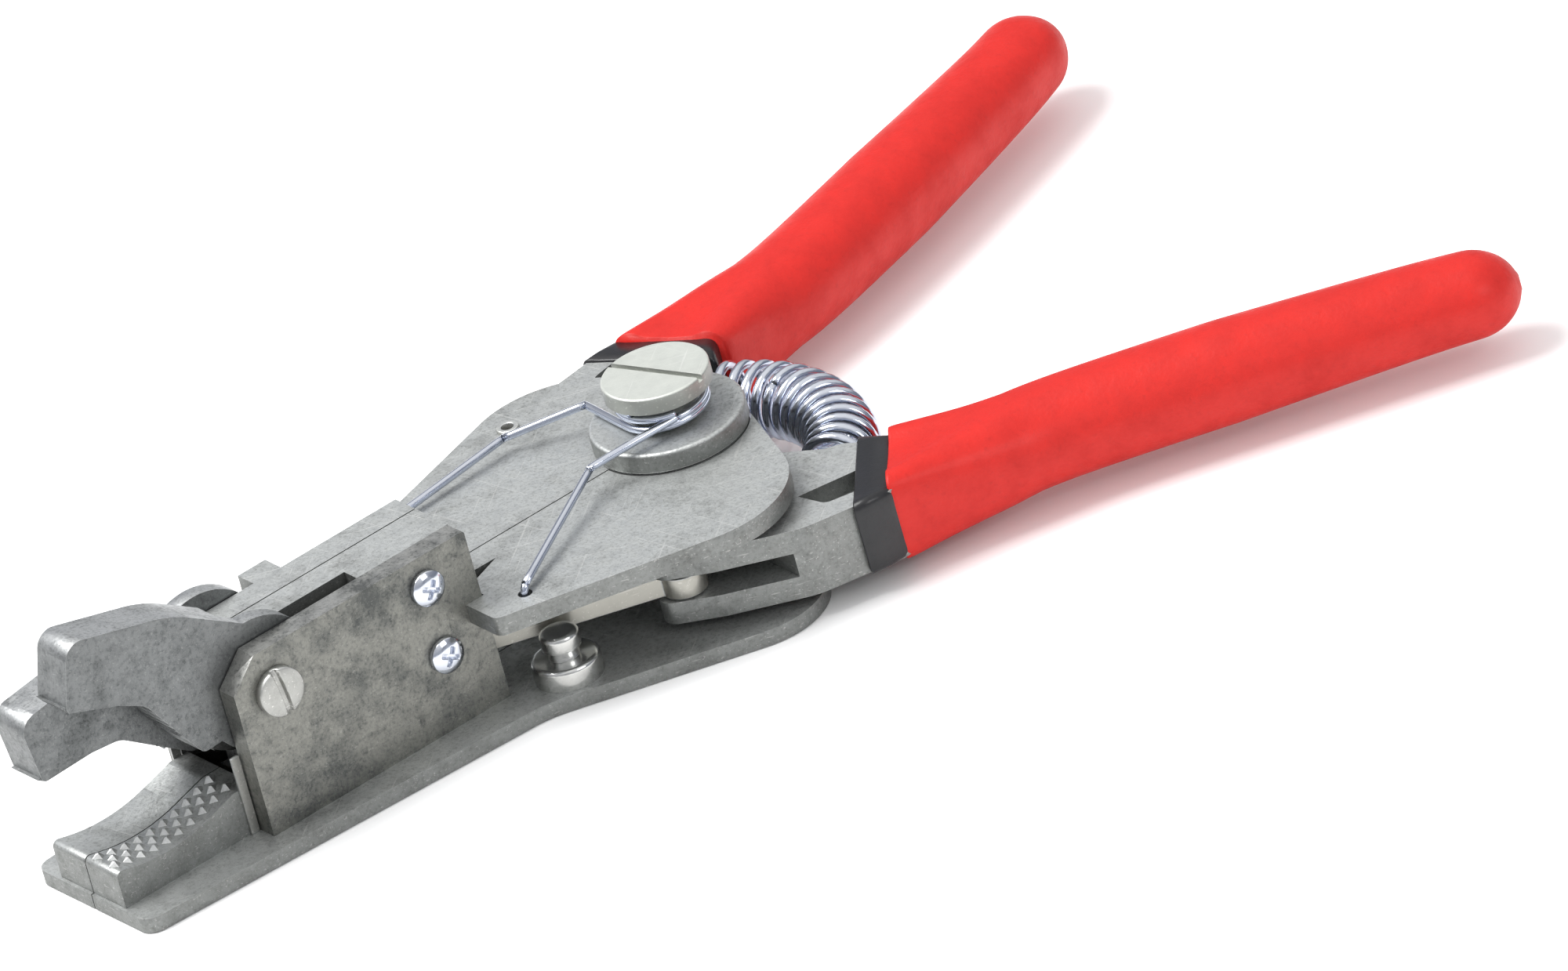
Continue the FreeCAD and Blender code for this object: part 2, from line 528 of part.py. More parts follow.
# ---- levers, grips ------------------------------------------------------------------
PIN = ("-pin_x", "-pin_y")
LEVER_Z = ("lever_bottom", "lever_top")
arm = slab("arm", [("-8", "-8"), ("-pin_x+1", "-pin_y+fork_radius*1.1", "3"),
                   ("-pin_x-fork_radius*1.5", "-pin_y+1", "3"), ("-pin_x+2", "-pin_y-fork_radius*1.5", "9"),
                   ("-3", "-41.4", "12"), ("13.5", "-45.6", "4"), ("22", "-44.8"), ("24.5", "-30.5"),
                   ("19.5", "-24", "2"), ("16.5", "-22.5", "1"), ("10.5", "-15", "5"), ("8", "-8")], LEVER_Z)
fork_slot = box("fork_slot", ("-pin_x-30", "-5"), ("-60", "-pin_y+fork_radius*1.5"), ("fork_low", "fork_high+1"))
groove = slab("groove", [("3.6", "-31.6"), ("5.0", "-31.6-groove_wide", "2"), ("30", "-39.2-groove_wide"),
                         ("30", "-37.2")], ("groove_floor", "lever_top+1"))
pin_hole = post("pin_hole", "pin_radius", PIN[0], PIN[1], ("0", "30"))

LINE = [(19.0, 36.2), (26.9, 38.7), (36.6, 41.7), (49.8, 45.3), (69.0, 53.3), (93.2, 64.3), (112.8, 73.7),
        (124.2, 80.0), (128.8, 82.6)]


def handle(name, stations, wide, high, closed):
    """Oval bar lofted along the handle's centre line, widest in the middle."""
    rings = []
    for index in stations:
        x, y = LINE[index]
        ahead, back = LINE[min(index + 1, len(LINE) - 1)], LINE[max(index - 1, 0)]
        heading = math.atan2(back[1] - ahead[1], ahead[0] - back[0])
        share = {0: "0.9", 1: "0.95", 2: "0.98", 6: "(1+end_share)/2", 7: "end_share", 8: "end_share*0.72"}
        factor = share.get(index, "1") if closed or index < 8 else "end_share"
        ring = DOC.addObject("Part::Ellipse", "%s_ring%d" % (name, index))
        bind(ring, MajorRadius="(%s)*%s" % (wide, factor), MinorRadius="(%s)*%s" % (high, factor))
        frame = FreeCAD.Matrix(math.sin(heading), 0, math.cos(heading), 0,
                               -math.cos(heading), 0, math.sin(heading), 0, 0, 1, 0, 0, 0, 0, 0, 1)
        ring.Placement = Placement(Vector(x, -y, 0), Placement(frame).Rotation)
        bind(ring, Placement__Base__z="handle_axis")
        rings.append(ring)
    bar = DOC.addObject("Part::Loft", name)
    bar.Sections, bar.Solid, bar.Ruled = rings, True, False
    return bar


core = handle("core", range(0, 8), "core_wide", "core_high", False)
sleeve = handle("sleeve", range(0, 8), "core_wide+under_wall", "core_high+under_wall", False)
grip_bar = handle("grip_bar", range(1, 9), "grip_wide", "grip_high", True)
under = cut("under_cut", sleeve, core, arm)
red = cut("grip_cut", grip_bar, sleeve, arm)
PEG_ANGLE = -62
peg = DOC.addObject("Part::Cylinder", "peg")
bind(peg, Radius="peg_radius", Height="4.5")
peg_spot = math.radians(PEG_ANGLE)
tangent = Vector(-math.sin(peg_spot), math.cos(peg_spot), 0)
peg.Placement = Placement(Vector(number("return_shift+return_bend*cos(%d deg)" % PEG_ANGLE),
                                 number("return_bend*sin(%d deg)" % PEG_ANGLE), 0), Rotation(Vector(0, 0, 1), tangent))
bind(peg, Placement__Base__z="handle_axis",
     Placement__Base__x="return_shift+return_bend*cos(%d deg)" % PEG_ANGLE,
     Placement__Base__y="return_bend*sin(%d deg)" % PEG_ANGLE)
plain_lever = cut("plain_lever", fuse("lever_all", arm, core, peg), fork_slot, groove, pin_hole)
link_pin = post("link_pin_solid", "pin_radius", PIN[0], PIN[1], ("lever_bottom", "lever_top+0.4"))


def lever(side, blank, eye, room):
    """Lever with its eye, clear of the other lever's eye."""
    ring = post(side + "_lever_eye", "lever_eye_radius", "0", "0", eye)
    clear = post(side + "_lever_clear", "lever_eye_radius+free_gap", "0", "0", room)
    shaft = post(side + "_lever_bore", "pivot_radius+running_gap", "0", "0", ("0", "30"))
    return cut(side + "_lever_cut", fuse(side + "_lever_fuse", cut(side + "_lever_room", blank, clear), ring), shaft)


def to_far(name, piece):
    """Mirror a near piece and turn it to the far handle's position."""
    return turned_copy(name + "_turned", far_copy(name + "_mirror", piece), Vector(0, 0, -1), "far_handle_ahead")


far_blank = to_far("far_lever_blank", plain_lever)
NEAR_EYE = ("base_thick+free_gap", "eye_split-free_gap/2")
FAR_EYE = ("eye_split+free_gap/2", "plate_bottom-free_gap")
hand_in("near_lever", lever("near", plain_lever, NEAR_EYE, ("eye_split-free_gap/2", "30")))
hand_in("far_lever", lever("far", far_blank, FAR_EYE, ("0", "eye_split+free_gap/2")))
for node, piece in (("link_pin", link_pin), ("underlayer", under), ("grip", red)):
    hand_in("near_" + node, piece)
    hand_in("far_" + node, to_far("far_" + node, piece))

# ---- links ------------------------------------------------------------------------------
plan = [("-hinge_x-crank-2.6", "-link_line+link_thick/2"), ("-hinge_x-crank-2.6", "-link_line-link_thick/2"),
        ("-link_bend-0.3", "-link_line-link_thick/2", "4"), ("-pin_x-0.4*link_thick", "-pin_y-0.42*link_thick"),
        ("-pin_x+0.4*link_thick", "-pin_y+0.42*link_thick"), ("-link_bend+0.3", "-link_line+link_thick/2", "5")]
blade_plan = slab("blade_plan", plan, ("0", "channel_top"))
blade_side = profile("blade_side", [("-hinge_x-crank-2.6", "19.2", "3"), ("-84", "18.9", "6"),
                                    ("-62", "fork_low+0.5", "8"), ("-pin_x+6", "fork_low+0.5"),
                                    ("-pin_x+6", "fork_high+0.7"), ("-64", "fork_high+0.7", "8"),
                                    ("-82", "25.4", "6"), ("-hinge_x-crank-2.6", "25.4", "3")], ("-40", "0"))
blade = common("blade", blade_plan, blade_side)
eye = post("link_eye", "link_eye_radius", PIN[0], PIN[1], ("fork_low+0.3", "fork_high+0.7"))
eye_bore = post("link_bore", "pin_radius+running_gap", PIN[0], PIN[1], ("0", "30"))
RIGHT, REACH = "(crank_pin_radius+link_play)", "(-link_line-link_thick)"
slot_parts = [cross_pin("slot_low", RIGHT, CRANK_X, "hinge_z-crank", (REACH, "0")),
              cross_pin("slot_high", RIGHT, CRANK_X, CRANK_Z, (REACH, "0"))]
slot_parts.append(box("slot_mid", (CRANK_X + "-" + RIGHT, CRANK_X + "+" + RIGHT), (REACH, "0"),
                      ("hinge_z-crank", CRANK_Z)))
link = cut("link_cut", fuse("link_all", blade, eye), eye_bore, *slot_parts)
hand_in("near_link", link)
swing = turned_copy("far_link_turned", far_copy("far_link_mirror", link), Vector(0, 0, -1), "far_handle_ahead")
pin_far = Rotation(Vector(0, 0, -1), number("far_handle_ahead")).multVec(Vector(number("-pin_x"), number("pin_y"), 0))
back_turn = Rotation(Vector(0, 0, 1), number("far_handle_ahead*1.21"))
far_link = DOC.addObject("Part::Compound", "far_link_set")
far_link.Links = [swing]
far_link.Placement = Placement(pin_far - back_turn.multVec(pin_far), back_turn)
hand_in("far_link", far_link)

# ---- springs: round wire along a guide line ------------------------------------------------


def wire(name, points, radius):
    """Round wire through a row of points."""
    guide = Part.BSplineCurve()
    guide.interpolate(points)
    spine = Part.Wire([guide.toShape()])
    start = guide.tangent(guide.FirstParameter)[0]
    ring = Part.Wire([Part.Circle(points[0], start, radius).toShape()])
    item = DOC.addObject("Part::Feature", name)
    item.Shape = spine.makePipeShell([ring], True, True)
    return item


def coil_points(turns, per_turn, start, end):
    """Points of a coil bent round the pivot between two angles."""
    radius = number("(return_outer+return_inner)/2")
    rows = []
    for step in range(turns * per_turn + 1):
        share = step / (turns * per_turn)
        along = math.radians(start + (end - start) * share)
        spin = 2 * math.pi * turns * share
        away = number("return_bend") + radius * math.cos(spin)
        rows.append(Vector(number("return_shift") + away * math.cos(along), away * math.sin(along),
                           number("handle_axis") + radius * math.sin(spin)))
    return rows


hand_in("return_spring", wire("return_wire", coil_points(15, 10, -53.0, 46.0), number("(return_outer-return_inner)/2")))


def leg(sign, height, from_height):
    """One leg of the hairpin spring, from the coil to its hole."""
    down = number("plate_bottom+1")
    rest = number("plate_bottom+plate_thick+wire_radius+0.5")
    hole_x, hole_y = number("-hook_hole_x"), number("hook_hole_y")
    return [Vector(-20.5, sign * 19.0, from_height - 0.2), Vector(-33.0, sign * 20.6, rest + 0.8),
            Vector(hole_x + 3.5, sign * hole_y, rest + 0.4), Vector(hole_x + 0.6, sign * hole_y, rest - 0.4),
            Vector(hole_x, sign * hole_y, rest - 1.8), Vector(hole_x, sign * hole_y, down)]


low, high = number("boss_top+wire_radius+0.35"), number("head_bottom-wire_radius-0.3")
radius = number("coil_radius")
near_leg = list(reversed(leg(-1, low, low)))
bend = Vector(-20.5, 19.0, 0)
lean = math.degrees(math.acos(radius / bend.Length))
bearing = math.degrees(math.atan2(bend.y, bend.x))
first, last = 360.0 - bearing + lean, 720.0 + bearing - lean
around = []
for step in range(17):
    share = step / 16
    angle = math.radians(first + (last - first) * share)
    around.append(Vector(radius * math.cos(angle), radius * math.sin(angle), low + (high - low) * share))


def between(start, end):
    """Three points on the straight run between two points."""
    return [start + (end - start) * (step / 4) for step in (1, 2, 3)]


far_leg = leg(1, high, low)
around = between(near_leg[-1], around[0]) + around + between(around[-1], far_leg[0])
hand_in("hairpin_spring", wire("hairpin_wire", near_leg + around + far_leg, number("wire_radius")))

# ---- check and write ---------------------------------------------------------------------------
DOC.recompute()
problems = []
for item in DOC.Objects:
    if "Invalid" in item.State or "Error" in item.State:
        problems.append("%s: %s" % (item.Name, item.State))
os.makedirs("parts", exist_ok=True)
for node, holder in OUT.items():
    shape = holder.Shape
    if shape.isNull() or not shape.isValid() or not shape.Solids:
        problems.append("%s: no valid solid" % node)
        continue
    shape.exportStep("parts/%s.step" % node)
    print(node, len(shape.Solids), "solids", [round(v, 1) for v in (
        shape.BoundBox.XMin, shape.BoundBox.YMin, shape.BoundBox.ZMin,
        shape.BoundBox.XMax, shape.BoundBox.YMax, shape.BoundBox.ZMax)])
if problems:
    raise RuntimeError("; ".join(problems))
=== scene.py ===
"""Fencing pliers: finishes, grips, springs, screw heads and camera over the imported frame. Metres throughout."""

import json
import logging
import math
from dataclasses import dataclass
from enum import Enum
from typing import Callable, Optional, Sequence

import bmesh
import bpy
from mathutils import Matrix, Quaternion, Vector


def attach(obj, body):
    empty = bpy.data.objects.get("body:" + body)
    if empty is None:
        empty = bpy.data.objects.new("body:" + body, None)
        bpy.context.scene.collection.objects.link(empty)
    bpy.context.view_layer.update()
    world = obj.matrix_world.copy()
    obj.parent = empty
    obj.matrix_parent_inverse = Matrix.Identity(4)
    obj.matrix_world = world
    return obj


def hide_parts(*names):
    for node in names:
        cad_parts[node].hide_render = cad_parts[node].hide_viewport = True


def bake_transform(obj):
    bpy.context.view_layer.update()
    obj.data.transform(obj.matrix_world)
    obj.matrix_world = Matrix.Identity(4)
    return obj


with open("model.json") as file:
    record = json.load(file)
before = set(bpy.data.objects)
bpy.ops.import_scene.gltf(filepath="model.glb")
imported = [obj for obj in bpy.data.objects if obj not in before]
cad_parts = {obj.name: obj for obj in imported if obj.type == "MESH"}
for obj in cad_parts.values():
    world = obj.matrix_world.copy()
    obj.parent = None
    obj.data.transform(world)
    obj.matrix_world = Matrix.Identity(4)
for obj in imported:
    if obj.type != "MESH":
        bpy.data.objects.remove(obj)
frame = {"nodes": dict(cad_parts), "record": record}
LOG = logging.getLogger("fencing_pliers")
MM = 0.001
Point = tuple[float, float, float]
HANDLE_LEVEL = 12.0     # mm, middle of the handles above the base
HINGE = Vector((-98.8, 0.0, 29.1))      # mm, axis of the jaw screws
SPRING_HOLE = (-49.1, 21.2)     # mm, hairpin hole in the far top plate
GRIP_LEAN = 0.42        # slant of the grip's front edge


class Side(Enum):
    """Which half a piece belongs to; the value is the sign of its Y side."""

    NEAR = -1
    FAR = 1

    @property
    def word(self) -> str:
        """Prefix of the node and body names on this side.

        Returns:
            The prefix.
        """
        return self.name.lower()


# ---- finishes ---------------------------------------------------------------------------------------------------


@dataclass(frozen=True)
class MetalFinish:
    """Worn metal: painted light with lighter level faces and darker painted-shade upright faces, plus grain, scratches
    and gloss.
    """

    name: str
    # The first colour is painted light on level faces, the second painted shade on upright faces.
    top: Point
    side: Point
    dark: Point
    rough: float = 0.42
    spread: float = 0.18
    metal: float = 0.85
    grain: float = 0.35
    blotch: float = 0.5
    scratch: float = 0.5
    bump: float = 0.12


@dataclass(frozen=True)
class VinylFinish:
    """Dipped soft vinyl: colour, darker patches and a clear coat."""

    name: str
    base: Point
    dark: Point
    rough: float
    coat: float
    bump: float


# Metal finishes: a painted-light colour for level faces, a painted-shade colour for upright faces, dark patches, then
# roughness, spread, metal, grain, blotch, scratch and bump.
CAST = MetalFinish("cast_grey", (0.55, 0.565, 0.555), (0.235, 0.243, 0.235), (0.12, 0.122, 0.115), 0.45, 0.16,
                   0.8, 0.5, 0.4, 0.3, 0.18)
COVER = MetalFinish("cover_steel", (0.46, 0.46, 0.44), (0.215, 0.215, 0.195), (0.085, 0.09, 0.088), 0.36, 0.22,
                    0.85, 0.6, 0.85, 0.12, 0.12)
JAW = MetalFinish("jaw_steel", (0.50, 0.51, 0.51), (0.185, 0.192, 0.192), (0.08, 0.085, 0.085), 0.40, 0.2,
                  0.85, 0.6, 0.5, 0.12, 0.16)
PLAIN = MetalFinish("plain_steel", (0.70, 0.71, 0.68), (0.42, 0.42, 0.40), (0.24, 0.24, 0.22), 0.34, 0.2,
                    0.8, 0.25, 0.3, 0.6, 0.1)
HEAD = MetalFinish("main_head", (0.66, 0.68, 0.63), (0.30, 0.31, 0.29), (0.40, 0.41, 0.38), 0.42, 0.1,
                   0.6, 0.12, 0.2, 0.4, 0.06)
EDGE = MetalFinish("worn_edge", (0.66, 0.67, 0.66), (0.50, 0.51, 0.50), (0.26, 0.26, 0.25), 0.32, 0.15,
                   0.85, 0.4, 0.5, 0.2, 0.05)
CHROME = MetalFinish("bright_screw", (0.82, 0.84, 0.88), (0.66, 0.69, 0.76), (0.14, 0.16, 0.26), 0.14, 0.1,
                     1.0, 0.0, 0.05, 0.0, 0.02)
SPRING = MetalFinish("spring_steel", (0.70, 0.73, 0.80), (0.52, 0.56, 0.66), (0.12, 0.15, 0.26), 0.15, 0.12,
                     1.0, 0.0, 0.08, 0.0, 0.02)
LINK = MetalFinish("bright_link", (0.62, 0.61, 0.57), (0.42, 0.41, 0.37), (0.36, 0.35, 0.31), 0.32, 0.12,
                   0.8, 0.2, 0.3, 0.3, 0.05)
STUD = MetalFinish("stud", (0.78, 0.79, 0.78), (0.60, 0.60, 0.58), (0.20, 0.20, 0.20), 0.2, 0.1,
                   0.95, 0.15, 0.2, 0.1, 0.04)
RED = VinylFinish("red_vinyl", (0.56, 0.013, 0.008), (0.38, 0.007, 0.005), 0.46, 0.06, 0.4)
BLACK = VinylFinish("black_vinyl", (0.012, 0.012, 0.014), (0.004, 0.004, 0.005), 0.33, 0.3, 0.2)
SLOTS = {"cast_grey": CAST, "cover_steel": COVER, "bright_screw": CHROME, "plain_steel": PLAIN,
         "spring_steel": SPRING, "bright_link": LINK, "black_vinyl": BLACK, "red_vinyl": RED}


class Graph:
    """Short hand for adding and wiring shader nodes."""

    def __init__(self, tree: bpy.types.NodeTree) -> None:
        """Work on a node tree.

        Args:
            tree: The tree.
        """
        self.tree = tree

    def add(self, kind: str, inputs: Optional[dict] = None, **props: object) -> bpy.types.Node:
        """Add a node.

        Args:
            kind: Blender's node type.
            inputs: Values or output sockets by input name or index.
            **props: Properties of the node.

        Returns:
            The new node.
        """
        node = self.tree.nodes.new(kind)
        for key, value in props.items():
            setattr(node, key, value)
        for key, value in (inputs or {}).items():
            if isinstance(value, bpy.types.NodeSocket):
                self.tree.links.new(value, node.inputs[key])
            else:
                node.inputs[key].default_value = value
        return node

    def math(self, operation: str, *values: object) -> bpy.types.NodeSocket:
        """Add a math node and return its output.

        Args:
            operation: Blender's name of the operation.
            *values: Numbers or sockets.

        Returns:
            The output socket.
        """
        return self.add("ShaderNodeMath", dict(enumerate(values)), operation=operation).outputs[0]

    def ramp(self, value: bpy.types.NodeSocket, low: float, high: float) -> bpy.types.NodeSocket:
        """Map a value from low..high to 0..1, clamped.

        Args:
            value: Socket to map.
            low: Value that becomes 0.
            high: Value that becomes 1.

        Returns:
            The mapped socket.
        """
        return self.add("ShaderNodeMapRange", {0: value, 1: low, 2: high}, clamp=True).outputs[0]

    def mix(self, factor: object, first: object, second: object) -> bpy.types.NodeSocket:
        """Mix two colours and return the result.

        Args:
            factor: Share of the second colour.
            first: First colour or socket.
            second: Second colour or socket.

        Returns:
            The mixed colour socket.
        """
        return self.add("ShaderNodeMix", {0: factor, 6: first, 7: second}, data_type="RGBA").outputs[2]


def rgba(colour: Point) -> tuple[float, float, float, float]:
    """Add an opaque alpha to a colour.

    Args:
        colour: Red, green and blue.

    Returns:
        The colour with alpha 1.
    """
    return (*colour, 1.0)


def wear_and_shade_group() -> bpy.types.ShaderNodeTree:
    """Shared worn-metal effect with painted light: level faces lighter, upright faces darker painted shade, then
    blotches, grain and scratches.

    Returns:
        The node group, with colour, roughness and height outputs.
    """
    tree = bpy.data.node_groups.new("worn_metal_and_painted_shade", "ShaderNodeTree")
    for name, kind in (("Top", "NodeSocketColor"), ("Side", "NodeSocketColor"), ("Dark", "NodeSocketColor"),
                       ("Roughness", "NodeSocketFloat"), ("Spread", "NodeSocketFloat"), ("Grain", "NodeSocketFloat"),
                       ("Blotch", "NodeSocketFloat"), ("Scratch", "NodeSocketFloat")):
        tree.interface.new_socket(name, in_out="INPUT", socket_type=kind)
    for name, kind in (("Color", "NodeSocketColor"), ("Roughness", "NodeSocketFloat"), ("Height", "NodeSocketFloat")):
        tree.interface.new_socket(name, in_out="OUTPUT", socket_type=kind)
    g = Graph(tree)
    given = g.add("NodeGroupInput").outputs
    where = g.add("ShaderNodeTexCoord").outputs
    up = g.add("ShaderNodeSeparateXYZ", {0: where["Normal"]}).outputs[2]
    # Painted light: faces turned up get the lighter top colour, upright faces the darker side colour as painted shade.
    base = g.mix(g.ramp(up, 0.35, 0.8), given["Side"], given["Top"])
    broad = g.add("ShaderNodeTexNoise", {"Vector": where["Object"], "Scale": 95.0, "Detail": 6.0,
                                         "Roughness": 0.62}).outputs[0]
    patch = g.math("MULTIPLY", g.ramp(broad, 0.48, 0.68), given["Blotch"])
    fine = g.add("ShaderNodeTexNoise", {"Vector": where["Object"], "Scale": 1500.0, "Detail": 4.0,
                                        "Roughness": 0.7}).outputs[0]
    speck = g.math("MULTIPLY", g.ramp(fine, 0.47, 0.72), given["Grain"])
    middle = g.add("ShaderNodeTexNoise", {"Vector": where["Object"], "Scale": 420.0, "Detail": 5.0}).outputs[0]
    soil = g.math("MULTIPLY", g.ramp(middle, 0.52, 0.75), g.math("MULTIPLY", given["Blotch"], 0.6))
    darkness = g.math("MINIMUM", g.math("ADD", g.math("MAXIMUM", patch, soil), speck), 0.92)
    lines = None
    for angle, stretch in ((0.5, (45.0, 2600.0, 2600.0)), (-0.7, (60.0, 1900.0, 1900.0)),
                           (1.4, (38.0, 2300.0, 2300.0))):
        turned = g.add("ShaderNodeMapping", {"Vector": where["Object"], "Rotation": (0.0, 0.0, angle)})
        spun = g.add("ShaderNodeMapping", {"Vector": turned.outputs[0], "Scale": stretch})
        streak = g.add("ShaderNodeTexNoise", {"Vector": spun.outputs[0], "Scale": 1.0, "Detail": 1.0}).outputs[0]
        line = g.ramp(streak, 0.69, 0.74)
        lines = line if lines is None else g.math("MAXIMUM", lines, line)
    scratch = g.math("MULTIPLY", lines, given["Scratch"])
    soiled = g.mix(darkness, base, given["Dark"])
    light = g.mix(0.5, base, (1.0, 0.98, 0.94, 1.0))
    colour = g.mix(scratch, soiled, light)
    swing = g.math("MULTIPLY", g.math("SUBTRACT", middle, 0.5), given["Spread"])
    rough = g.math("ADD", given["Roughness"], g.math("MULTIPLY", swing, 2.0))
    rough = g.math("ADD", rough, g.math("MULTIPLY", darkness, 0.18))
    height = g.math("SUBTRACT", g.math("ADD", fine, g.math("MULTIPLY", middle, 0.6)), scratch)
    g.add("NodeGroupOutput", {0: colour, 1: rough, 2: height})
    return tree


def vinyl_group() -> bpy.types.ShaderNodeTree:
    """Shared soft-vinyl effect: cloudy patches, dull rubs and a pitted skin.

    Returns:
        The node group, with colour, roughness and height outputs.
    """
    tree = bpy.data.node_groups.new("soft_vinyl", "ShaderNodeTree")
    for name in ("Base", "Dark"):
        tree.interface.new_socket(name, in_out="INPUT", socket_type="NodeSocketColor")
    tree.interface.new_socket("Roughness", in_out="INPUT", socket_type="NodeSocketFloat")
    for name, kind in (("Color", "NodeSocketColor"), ("Roughness", "NodeSocketFloat"), ("Height", "NodeSocketFloat")):
        tree.interface.new_socket(name, in_out="OUTPUT", socket_type=kind)
    g = Graph(tree)
    given = g.add("NodeGroupInput").outputs
    where = g.add("ShaderNodeTexCoord").outputs["Object"]
    cloud = g.add("ShaderNodeTexNoise", {"Vector": where, "Scale": 140.0, "Detail": 7.0, "Roughness": 0.65}).outputs[0]
    pits = g.add("ShaderNodeTexNoise", {"Vector": where, "Scale": 900.0, "Detail": 5.0, "Roughness": 0.6}).outputs[0]
    waves = g.add("ShaderNodeTexNoise", {"Vector": where, "Scale": 45.0, "Detail": 2.0}).outputs[0]
    colour = g.mix(g.math("MULTIPLY", g.ramp(cloud, 0.40, 0.72), 0.5), given["Base"], given["Dark"])
    colour = g.mix(g.math("MULTIPLY", g.ramp(pits, 0.56, 0.74), 0.4), colour, given["Dark"])
    rough = g.math("ADD", given["Roughness"], g.math("MULTIPLY", g.ramp(cloud, 0.4, 0.7), 0.2))
    height = g.math("ADD", g.math("MULTIPLY", pits, 0.35), g.math("ADD", cloud, g.math("MULTIPLY", waves, 1.6)))
    g.add("NodeGroupOutput", {0: colour, 1: rough, 2: height})
    return tree


class Paint:
    """Materials of the object, one for each finish, made when first asked for."""

    def __init__(self) -> None:
        """Make the two shared node groups."""
        self.made: dict[str, bpy.types.Material] = {}
        self.metal = wear_and_shade_group()
        self.vinyl = vinyl_group()

    def get(self, finish: "MetalFinish | VinylFinish") -> bpy.types.Material:
        """Material of a finish.

        Args:
            finish: The finish wanted.

        Returns:
            Its material.
        """
        if finish.name not in self.made:
            material = bpy.data.materials.new(finish.name)
            material.use_nodes = True
            material.node_tree.nodes.clear()
            g = Graph(material.node_tree)
            if isinstance(finish, MetalFinish):
                skin = g.add("ShaderNodeGroup", node_tree=self.metal)
                # The level and upright colours set the painted light and painted shade of the worn-metal group.
                for key, value in (("Top", rgba(finish.top)), ("Side", rgba(finish.side)), ("Dark", rgba(finish.dark)),
                                   ("Roughness", finish.rough), ("Spread", finish.spread), ("Grain", finish.grain),
                                   ("Blotch", finish.blotch), ("Scratch", finish.scratch)):
                    skin.inputs[key].default_value = value
                bump, metal, coat = finish.bump, finish.metal, 0.0
            else:
                skin = g.add("ShaderNodeGroup", node_tree=self.vinyl)
                skin.inputs["Base"].default_value = rgba(finish.base)
                skin.inputs["Dark"].default_value = rgba(finish.dark)
                skin.inputs["Roughness"].default_value = finish.rough
                bump, metal, coat = finish.bump, 0.0, finish.coat
            relief = g.add("ShaderNodeBump", {"Strength": bump, "Distance": 0.0006, "Height": skin.outputs["Height"]})
            shader = g.add("ShaderNodeBsdfPrincipled", {
                "Base Color": skin.outputs["Color"], "Roughness": skin.outputs["Roughness"], "Metallic": metal,
                "Coat Weight": coat, "Coat Roughness": 0.22, "Specular IOR Level": 0.5 if metal else 0.32,
                "Normal": relief.outputs[0]})
            g.add("ShaderNodeOutputMaterial", {0: shader.outputs[0]})
            self.made[finish.name] = material
        return self.made[finish.name]


# ---- mesh building ----------------------------------------------------------------------------------------------


def finish_mesh(name: str, bm: bmesh.types.BMesh, material: bpy.types.Material, body: str,
                replaced: Sequence[str] = ()) -> bpy.types.Object:
    """Turn a bmesh into a piece of the object.

    Args:
        name: Name of the piece.
        bm: Its mesh; freed here.
        material: Its material.
        body: CAD body that it rides on.
        replaced: CAD nodes that it stands for.

    Returns:
        The new object.
    """
    bmesh.ops.recalc_face_normals(bm, faces=bm.faces)
    mesh = bpy.data.meshes.new(name)
    for face in bm.faces:
        face.smooth = True
    bm.to_mesh(mesh)
    bm.free()
    mesh.materials.append(material)
    piece = bpy.data.objects.new(name, mesh)
    bpy.context.scene.collection.objects.link(piece)
    if body:
        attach(piece, body)
    if replaced:
        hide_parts(*replaced)
    return piece


def rings(bm: bmesh.types.BMesh, loops: Sequence[Sequence[Vector]]) -> None:
    """Skin a row of equal loops and cap both ends.

    Args:
        bm: Mesh to add to.
        loops: Rows of points.
    """
    rows = [[bm.verts.new(spot) for spot in loop] for loop in loops]
    size = len(rows[0])
    for first, second in zip(rows, rows[1:]):
        for i in range(size):
            bm.faces.new((first[i], first[(i + 1) % size], second[(i + 1) % size], second[i]))
    bm.faces.new(rows[0])
    bm.faces.new(rows[-1])


def smooth_line(points: Sequence[Vector], steps: int) -> list[Vector]:
    """Points along a smooth curve through the given points.

    Args:
        points: Points to pass through.
        steps: Points to add between two of them.

    Returns:
        The finer row of points.
    """
    row = [2 * points[0] - points[1], *points, 2 * points[-1] - points[-2]]
    out = []
    for a, b, c, d in zip(row, row[1:], row[2:], row[3:]):
        for k in range(steps):
            t = k / steps
            out.append(0.5 * (2 * b + (c - a) * t + (2 * a - 5 * b + 4 * c - d) * t * t
                              + (3 * b - 3 * c + d - a) * t ** 3))
    return [*out, points[-1]]


def tube(name: str, path: Sequence[Vector], radius: float, material: bpy.types.Material, body: str,
         node: str, sides: int = 14) -> bpy.types.Object:
    """Round wire along a path.

    Args:
        name: Name of the piece.
        path: Centre line.
        radius: Wire radius.
        material: Its material.
        body: Body that it rides on, or an empty string.
        node: CAD node that it stands for.
        sides: Points round the wire.

    Returns:
        The wire.
    """
    bm = bmesh.new()
    loops = []
    across = Vector((0.0, 0.0, 1.0))
    for i, spot in enumerate(path):
        ahead = (path[min(i + 1, len(path) - 1)] - path[max(i - 1, 0)]).normalized()
        across = (across - ahead * across.dot(ahead)).normalized()
        other = ahead.cross(across)
        loops.append([spot + radius * (across * math.cos(a) + other * math.sin(a))
                      for a in (2 * math.pi * k / sides for k in range(sides))])
    rings(bm, loops)
    return finish_mesh(name, bm, material, body, (node,))


# ---- sub-assemblies ---------------------------------------------------------------------------------------------


